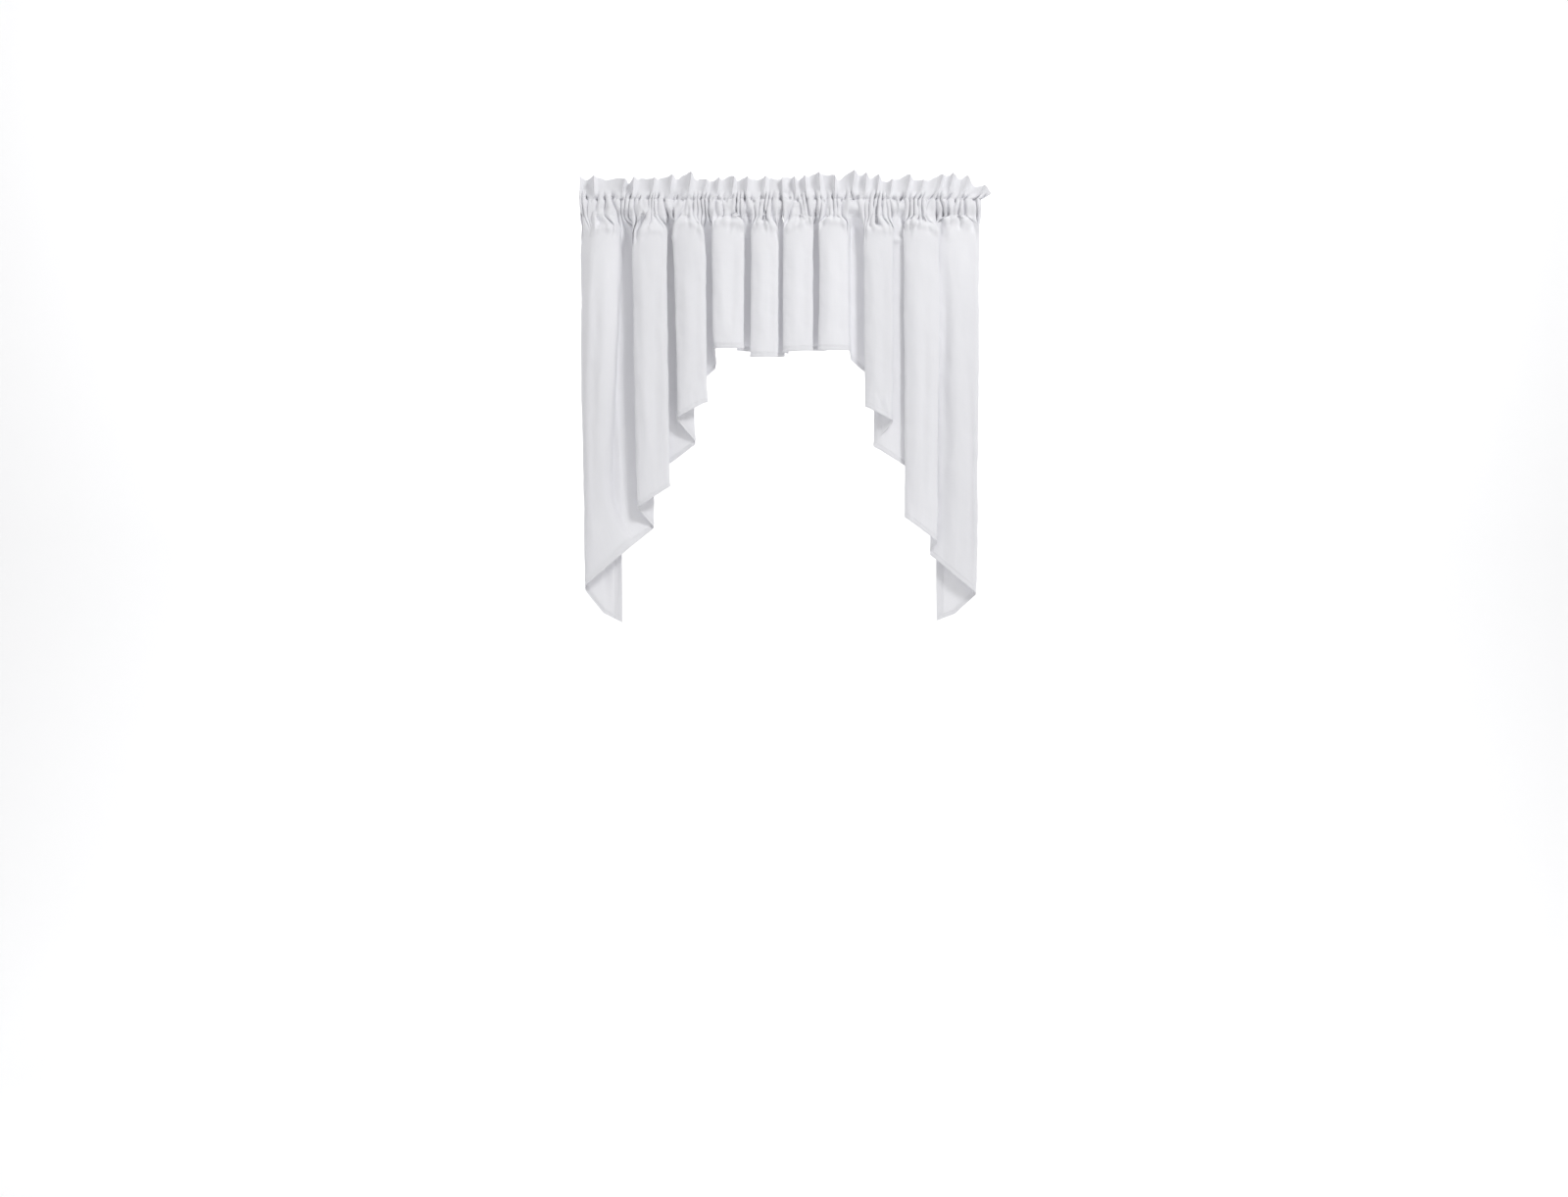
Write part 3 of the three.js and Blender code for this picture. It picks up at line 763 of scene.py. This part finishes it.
        pulled = np.where(turned[:, None] | (self.turned > 0)[None, :], -GROOVE_BEHIND, 1) * groove
        return grid + inward * (behind + pulled - rise)[:, :, None], laid_up

    def crease_rise(self, crease, height):
        """How far one crease lifts the cloth at each point of the grid."""
        within = self.flat[self.stretch == crease.turn]
        down = (crease.top - height) / (crease.top - crease.foot)
        middle = mix(within.min(), within.max(), crease.share) + crease.slant * down
        along = smooth(down / CREASE_END) * smooth((1 - down) / CREASE_END)
        return crease.rise * bump(self.flat[None, :] - middle, crease.width) * along

    def fold_closeness(self, laid_up):
        """How close each point is to a folded edge, from 0 to 1."""
        crest = laid_up - laid_up[self.crest_row]
        side = np.where(self.turned > 0, self.turned, np.minimum(self.flat, self.width - self.flat))
        nearest = np.minimum(np.minimum(abs(laid_up), abs(crest)), side[None, :])
        return np.exp(-nearest / FOLDED_EDGE_WIDTH)


def grid_normals(grid):
    """Unit normals of a grid of points, towards the back where the cloth faces the room."""
    along = np.gradient(grid, axis=1)
    up = np.gradient(grid, axis=0)
    normal = np.cross(up, along)
    return normal / np.maximum(np.linalg.norm(normal, axis=2, keepdims=True), LEAST_LENGTH)


def link_mesh(name, mesh):
    """A smooth-shaded object of a finished mesh, linked to the scene."""
    mesh.polygons.foreach_set("use_smooth", [True] * len(mesh.polygons))
    mesh.update()
    thing = bpy.data.objects.new(name, mesh)
    bpy.context.scene.collection.objects.link(thing)
    return thing


def grid_mesh(name, grid, laid_along, laid_up, edge_closeness=None):
    """A mesh object from a grid of points in millimetres, with the flat cloth as its UV map."""
    rows, columns = grid.shape[:2]
    index = np.arange(rows * columns).reshape(rows, columns)
    quads = np.stack([index[:-1, :-1], index[:-1, 1:], index[1:, 1:], index[1:, :-1]], axis=-1)
    quads = quads.reshape(-1, 4)
    mesh = bpy.data.meshes.new(name)
    mesh.from_pydata((grid.reshape(-1, 3) * MM).tolist(), [], quads.tolist())
    places = np.stack([np.broadcast_to(laid_along, (rows, columns)), laid_up], axis=-1) * MM
    layer = mesh.uv_layers.new(name="cloth")
    layer.data.foreach_set("uv", places.reshape(-1, 2)[quads.reshape(-1)].ravel().astype(np.float32))
    if edge_closeness is not None:
        edge = mesh.attributes.new("edge", "FLOAT", "POINT")
        edge.data.foreach_set("value", edge_closeness.ravel().astype(np.float32))
    return link_mesh(name, mesh)


def stitch_places(points, outward, look):
    """Where each stitch of one sewn line starts and ends, and the way that the cloth faces there."""
    along = np.concatenate([[0], np.cumsum(np.linalg.norm(np.diff(points, axis=0), axis=1))])
    pitch = look.stitch_pitch / MM
    starts = np.arange(pitch / 2, along[-1] - pitch, pitch)
    ends = starts + look.stitch_length / MM

    def at(values, spots):
        return np.column_stack([np.interp(spots, along, values[:, k]) for k in range(3)])

    return at(points, starts), at(points, ends), at(outward, (starts + ends) / 2)


def stitch_mesh(name, lines, look):
    """All stitches of a curtain: short threads that come out of the cloth and go back in."""
    places = [stitch_places(*line, look) for line in lines]
    start, end, outward = (np.vstack(part) for part in zip(*places))
    run = end - start
    run /= np.linalg.norm(run, axis=1, keepdims=True)
    outward -= run * np.sum(outward * run, axis=1, keepdims=True)
    outward /= np.linalg.norm(outward, axis=1, keepdims=True)
    across = np.cross(outward, run)
    half = look.thread_width / MM / 2
    points = []
    for share, lift, size in STITCH_RINGS:
        middle = mix(start, end, share) + outward * lift
        for k in range(STITCH_SIDES):
            angle = 2 * math.pi * k / STITCH_SIDES
            turn = across * math.cos(angle) + outward * math.sin(angle) * THREAD_FLATNESS
            points.append(middle + turn * half * size)
    count = len(points)
    grid = np.stack(points, axis=1)
    faces = []
    for ring in range(0, count - STITCH_SIDES, STITCH_SIDES):
        for k in range(STITCH_SIDES):
            a, b = ring + k, ring + (k + 1) % STITCH_SIDES
            faces.append((a, b, b + STITCH_SIDES, a + STITCH_SIDES))
    first = tuple(range(STITCH_SIDES))[::-1]
    last = tuple(range(count - STITCH_SIDES, count))
    offsets = np.arange(len(start)) * count
    every = (offsets[:, None, None] + np.array([*faces, first, last])[None]).reshape(-1, STITCH_SIDES)
    mesh = bpy.data.meshes.new(name)
    mesh.from_pydata((grid.reshape(-1, 3) * MM).tolist(), [], every.tolist())
    return link_mesh(name, mesh)


class Shade:
    """A shader socket that Python's operators work on, each by adding its Math node."""

    def __init__(self, maker, socket):
        self.maker = maker
        self.socket = socket

    def math(self, operation, *others):
        """A new Math node on this socket and the others."""
        settings = {"operation": operation}
        return self.maker.node("ShaderNodeMath", settings, dict(enumerate([self, *others])))

    def __add__(self, other):
        return self.math("ADD", other)

    def __sub__(self, other):
        return self.math("SUBTRACT", other)

    def __mul__(self, other):
        return self.math("MULTIPLY", other)

    def __rsub__(self, other):
        return self.maker.node("ShaderNodeMath", {"operation": "SUBTRACT"}, {0: other, 1: self})

    __radd__ = __add__
    __rmul__ = __mul__

    def sine(self):
        """The sine of the socket's value."""
        return self.math("SINE")


class ShaderMaker:
    """Builds one material's nodes."""

    def __init__(self, name):
        self.material = bpy.data.materials.new(name)
        self.material.use_nodes = True
        self.tree = self.material.node_tree
        self.tree.nodes.clear()

    def node(self, kind, settings=None, inputs=None, output=0):
        """Adds a node, sets it up, joins or fills its sockets, and gives one of its outputs."""
        made = self.tree.nodes.new(kind)
        for name, value in (settings or {}).items():
            setattr(made, name, value)
        for name, value in (inputs or {}).items():
            if isinstance(value, Shade):
                self.tree.links.new(value.socket, made.inputs[name])
            else:
                made.inputs[name].default_value = value
        return Shade(self, made.outputs[output])

    def noise(self, place, scale, detail=2.0):
        """Soft noise at a place."""
        return self.node("ShaderNodeTexNoise", None, {"Vector": place, "Scale": scale, "Detail": detail})

    def between(self, share, low, high):
        """A colour at a share of the way from one to another."""
        inputs = {0: share, 6: (*low, 1), 7: (*high, 1)}
        return self.node("ShaderNodeMix", {"data_type": "RGBA"}, inputs, output=2)

    def finish(self, surface):
        """Joins the surface to the material's output, and gives the material."""
        end = self.tree.nodes.new("ShaderNodeOutputMaterial")
        self.tree.links.new(surface.socket, end.inputs["Surface"])
        return self.material


def cloth_material(look):
    """Plain woven white cotton: warp and weft, thicker threads here and there, and a soft sheen."""
    make = ShaderMaker("white_cloth")
    flat = make.node("ShaderNodeUVMap", {"uv_map": "cloth"})
    split = make.node("ShaderNodeSeparateXYZ", None, {0: flat})
    along, up = split, Shade(make, split.socket.node.outputs[1])
    turns = 2 * math.pi / look.thread_pitch
    weave = (along * turns).sine() * (up * turns).sine()

    def slubs(across, along_up):
        counts = (across, along_up, 1)
        stretched = make.node("ShaderNodeVectorMath", {"operation": "MULTIPLY"}, {0: flat, 1: counts})
        return make.noise(stretched, 1.0)

    threads = slubs(SLUB_COUNT, SLUB_STARTS) + slubs(SLUB_STARTS, SLUB_COUNT) - 1
    cloud = make.noise(flat, scale=9.0, detail=3.0)
    edge = make.node("ShaderNodeAttribute", {"attribute_name": "edge"}, output=2)
    # The tone varies at random with the clouds and slubs, and is lighter towards folded edges.
    tone = cloud * CLOUD_TONE + threads * THREAD_TONE + edge * EDGE_TONE + BASE_TONE
    color = make.between(tone, look.shade_color, look.cloth_color)
    height = weave * WEAVE_RISE + threads * SLUB_RISE
    relief = make.node("ShaderNodeBump", None, {"Strength": 0.22, "Distance": 0.0002, "Height": height})
    rough = CLOTH_ROUGH + cloud * CLOUD_ROUGH + edge * EDGE_ROUGH
    front = make.node(
        "ShaderNodeBsdfPrincipled",
        None,
        {
            "Base Color": color,
            "Roughness": rough,
            "Normal": relief,
            "Sheen Weight": look.sheen,
            "Sheen Roughness": 0.5,
            "Specular IOR Level": 0.35,
        },
    )
    inside = {"Color": (*look.cloth_color, 1), "Normal": relief}
    through = make.node("ShaderNodeBsdfTranslucent", None, inside)
    share = look.thinness - threads * SLUB_SHADE
    return make.finish(make.node("ShaderNodeMixShader", None, {0: share, 1: front, 2: through}))


def thread_material(look):
    """White sewing thread, twisted, a little glossier than the cloth."""
    make = ShaderMaker("white_thread")
    place = make.node("ShaderNodeTexCoord", output=3)
    grain = make.noise(place, scale=900.0)
    color = make.between(grain, look.thread_shade, look.thread_color)
    twist = make.node("ShaderNodeBump", None, {"Strength": 0.3, "Distance": 0.0001, "Height": grain})
    rough = THREAD_ROUGH + grain * TWIST_ROUGH
    inputs = {"Base Color": color, "Roughness": rough, "Normal": twist, "Sheen Weight": 0.1}
    return make.finish(make.node("ShaderNodeBsdfPrincipled", None, inputs))


def plain_material(name, color, roughness):
    """A plain even finish for the studio sweep."""
    make = ShaderMaker(name)
    speck = make.node("ShaderNodeTexNoise", None, {"Scale": 2.0, "Detail": 2.0})
    rough = roughness + speck * STAGE_GRAIN
    inputs = {"Base Color": (*color, 1), "Roughness": rough}
    return make.finish(make.node("ShaderNodeBsdfPrincipled", None, inputs))


def metres(name, description, default):
    """A length that a user may change."""
    return FloatProperty(
        name=name, description=description, default=default, unit="LENGTH", subtype="DISTANCE"
    )


def white(name, description, default):
    """A colour that a user may change."""
    return FloatVectorProperty(name=name, description=description, default=default, size=3, subtype="COLOR")


def factor(name, description, default):
    """A share that a user may change."""
    return FloatProperty(name=name, description=description, default=default, subtype="FACTOR")


def watts(name, description, default):
    """A lamp's power that a user may change."""
    return FloatProperty(name=name, description=description, default=default, unit="POWER")


class CurtainSizes(PropertyGroup):
    """Sizes of the sewn cloth."""

    hem: metres("Hem", "Depth of the bottom hem", 0.010)
    side_hem: metres("Side hem", "Depth of the side hems", 0.013)
    lap: metres("Lap", "How far a turned hem lies behind its cloth", 0.0007)
    gather_pitch: metres("Gather pitch", "From one sewn gather to the next", 0.0138)
    gather_depth: metres("Gather depth", "Half the depth of a sewn gather", 0.0072)
    hanging_rows: IntProperty(
        name="Hanging rows", description="Rows of cloth between the hem and the gathers", default=86
    )


class ClothLook(PropertyGroup):
    """Colours and finish of the cloth."""

    cloth_color: white("Cloth", "The cloth's white", (0.90, 0.90, 0.925))
    shade_color: white("Shade", "The thinner threads' white", (0.83, 0.83, 0.86))
    thread_pitch: metres("Thread pitch", "Two threads of the weave", 0.0009)
    sheen: factor("Sheen", "Strength of the soft sheen", 0.25)
    thinness: factor("Thinness", "Share of the light that comes through the cloth", 0.08)


class ThreadLook(PropertyGroup):
    """The sewing thread and its stitches."""

    thread_color: white("Thread", "The thread's white", (0.93, 0.93, 0.95))
    thread_shade: white("Twist", "The thread's white between its strands", (0.82, 0.82, 0.85))
    thread_width: metres("Thread width", "Across the thread", 0.0005)
    stitch_length: metres("Stitch", "Length of one stitch", 0.0024)
    stitch_pitch: metres("Stitch pitch", "From one stitch to the next", 0.0032)


class StageLook(PropertyGroup):
    """The studio round the curtains."""

    floor_color: white("Floor", "The pale floor and backdrop", (0.93, 0.93, 0.935))
    key_power: watts("Key", "Power of the key light", 81)
    fill_power: watts("Fill", "Power of the fill light", 9)
    backdrop_power: watts("Backdrop", "Power of the backdrop's light", 150)
    room_light: FloatProperty(name="Room", description="Strength of the even room light", default=0.53)
    camera_distance: metres("Distance", "From the camera to the curtains", 6)
    view_width: metres("View width", "Width that the camera sees at the curtains", 3.408)
    view_height: metres("Eye line", "Height of the camera", -0.850)


def sewn_lines(cloth, grid):
    """Every line of stitches of a curtain, as points and the outward way of the cloth there."""
    outward = -grid_normals(grid)
    lines = []
    for name, row in cloth.sewn.items():
        held = cloth.turned == 0 if name.startswith("hem") else slice(None)
        lines.append((grid[row][held], outward[row][held]))
    for index in cloth.side_lines:
        rows = slice(len(HEM_ROWS), cloth.crest_row)
        lines.append((grid[rows, index], outward[rows, index]))
    return lines


def sew_curtain(name, turns, petals, creases, seed, materials):
    scene = bpy.context.scene
    cloth = Cloth(turns, petals, creases, scene.curtain_sizes, seed)
    grid, laid_up = cloth.surface()
    curtain = grid_mesh(f"{name}_curtain", grid, cloth.laid, laid_up, cloth.fold_closeness(laid_up))
    stitching = stitch_mesh(f"{name}_stitching", sewn_lines(cloth, grid), scene.thread_look)
    for piece, material in zip((curtain, stitching), materials):
        piece.data.materials.append(material)
        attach(piece, "root")
    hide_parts(f"{name}_panel", f"{name}_heading")
    lengths = laid_up[-1] - laid_up[0]
    width = (cloth.laid[-1] - cloth.laid[0]) * MM
    area = float(np.trapz(lengths * MM, cloth.laid * MM))
    lengths.max() * MM


class CURTAINS_OT_sew(Operator):
    """Sew the left and the right curtain"""

    bl_idname = "curtains.sew"
    bl_label = "Sew Curtains"

    def execute(self, context):
        scene = context.scene
        materials = (cloth_material(scene.cloth_look), thread_material(scene.thread_look))
        sew_curtain("left", LEFT_TURNS, LEFT_PETALS, LEFT_CREASES, 11, materials)
        sew_curtain("right", RIGHT_TURNS, RIGHT_PETALS, RIGHT_CREASES, 23, materials)
        return {"FINISHED"}


def aim(thing, target):
    """Turns a lamp or the camera to look at a point."""
    thing.rotation_euler = (Vector(target) - thing.location).to_track_quat("-Z", "Y").to_euler()


def add_lamp(name, place, target, size, energy):
    """A square soft light."""
    lamp = bpy.data.lights.new(name, "AREA")
    lamp.shape = "SQUARE"
    lamp.size = size
    lamp.energy = energy
    thing = bpy.data.objects.new(name, lamp)
    bpy.context.scene.collection.objects.link(thing)
    thing.location = place
    aim(thing, target)
    thing.visible_camera = False


class CURTAINS_OT_stage(Operator):
    """Set the pale floor, the soft lights and the camera"""

    bl_idname = "curtains.stage"
    bl_label = "Set Stage"

    def execute(self, context):
        look = context.scene.stage_look
        self.add_sweep(look)
        for name, energy in zip(LAMPS, (look.key_power, look.fill_power, look.backdrop_power)):
            add_lamp(name, *LAMPS[name], energy)
        self.add_room(context, look)
        self.add_camera(context, look)
        context.scene.view_settings.view_transform = "Standard"
        return {"FINISHED"}

    def add_sweep(self, look):
        """A floor that curves up into a backdrop well behind the curtains."""
        bend = STAGE_BACK - STAGE_RADIUS
        profile = [(STAGE_FRONT, STAGE_FLOOR), (bend, STAGE_FLOOR)]
        for angle in np.radians(np.arange(STAGE_STEP, 90, STAGE_STEP)):
            rise = STAGE_RADIUS * (1 - math.cos(angle))
            profile.append((bend + STAGE_RADIUS * math.sin(angle), STAGE_FLOOR + rise))
        profile += [(STAGE_BACK, STAGE_FLOOR + STAGE_RADIUS), (STAGE_BACK, STAGE_TOP)]
        half = STAGE_WIDTH / 2
        grid = np.array([[(side * half, y, z) for side in (-1, 0, 1)] for y, z in profile]) / MM
        flat = np.array([[y] * 3 for y, _ in profile])
        sweep = grid_mesh("studio_sweep", grid, np.array([0, 1, 2]), flat)
        sweep.data.materials.append(plain_material("pale_floor", look.floor_color, STAGE_ROUGH))

    def add_room(self, context, look):
        """Even light from all round."""
        world = bpy.data.worlds.new("room_light")
        world.use_nodes = True
        back = world.node_tree.nodes["Background"]
        back.inputs["Color"].default_value = (1, 1, 1, 1)
        back.inputs["Strength"].default_value = look.room_light
        context.scene.world = world

    def add_camera(self, context, look):
        """The level front view of the photograph."""
        camera = bpy.data.objects.new("camera", bpy.data.cameras.new("camera"))
        context.scene.collection.objects.link(camera)
        camera.location = (VIEW_MIDDLE, -look.camera_distance, look.view_height)
        aim(camera, (VIEW_MIDDLE, 0, look.view_height))
        camera.data.lens = camera.data.sensor_width * look.camera_distance / look.view_width
        camera.data.clip_end = VIEW_END
        context.scene.camera = camera


class CURTAINS_PT_panel(Panel):
    """Lists the steps that make the curtains"""

    bl_label = "Rod Pocket Curtains"
    bl_idname = "CURTAINS_PT_panel"
    bl_space_type = "VIEW_3D"
    bl_region_type = "UI"
    bl_category = "Curtains"

    def draw(self, context):
        layout = self.layout
        for step in STEPS:
            layout.operator(step.bl_idname)


STEPS = (CURTAINS_OT_sew, CURTAINS_OT_stage)
GROUPS = {
    "curtain_sizes": CurtainSizes,
    "cloth_look": ClothLook,
    "thread_look": ThreadLook,
    "stage_look": StageLook,
}
CLASSES = (*GROUPS.values(), *STEPS, CURTAINS_PT_panel)


def register():
    for item in CLASSES:
        bpy.utils.register_class(item)
    for name, group in GROUPS.items():
        setattr(bpy.types.Scene, name, PointerProperty(type=group))


def unregister():
    for name in GROUPS:
        delattr(bpy.types.Scene, name)
    for item in reversed(CLASSES):
        bpy.utils.unregister_class(item)


def main():
    """Makes the whole scene."""
    register()
    bpy.ops.curtains.sew()
    bpy.ops.curtains.stage()
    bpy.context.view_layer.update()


if __name__ == "__main__":
    main()
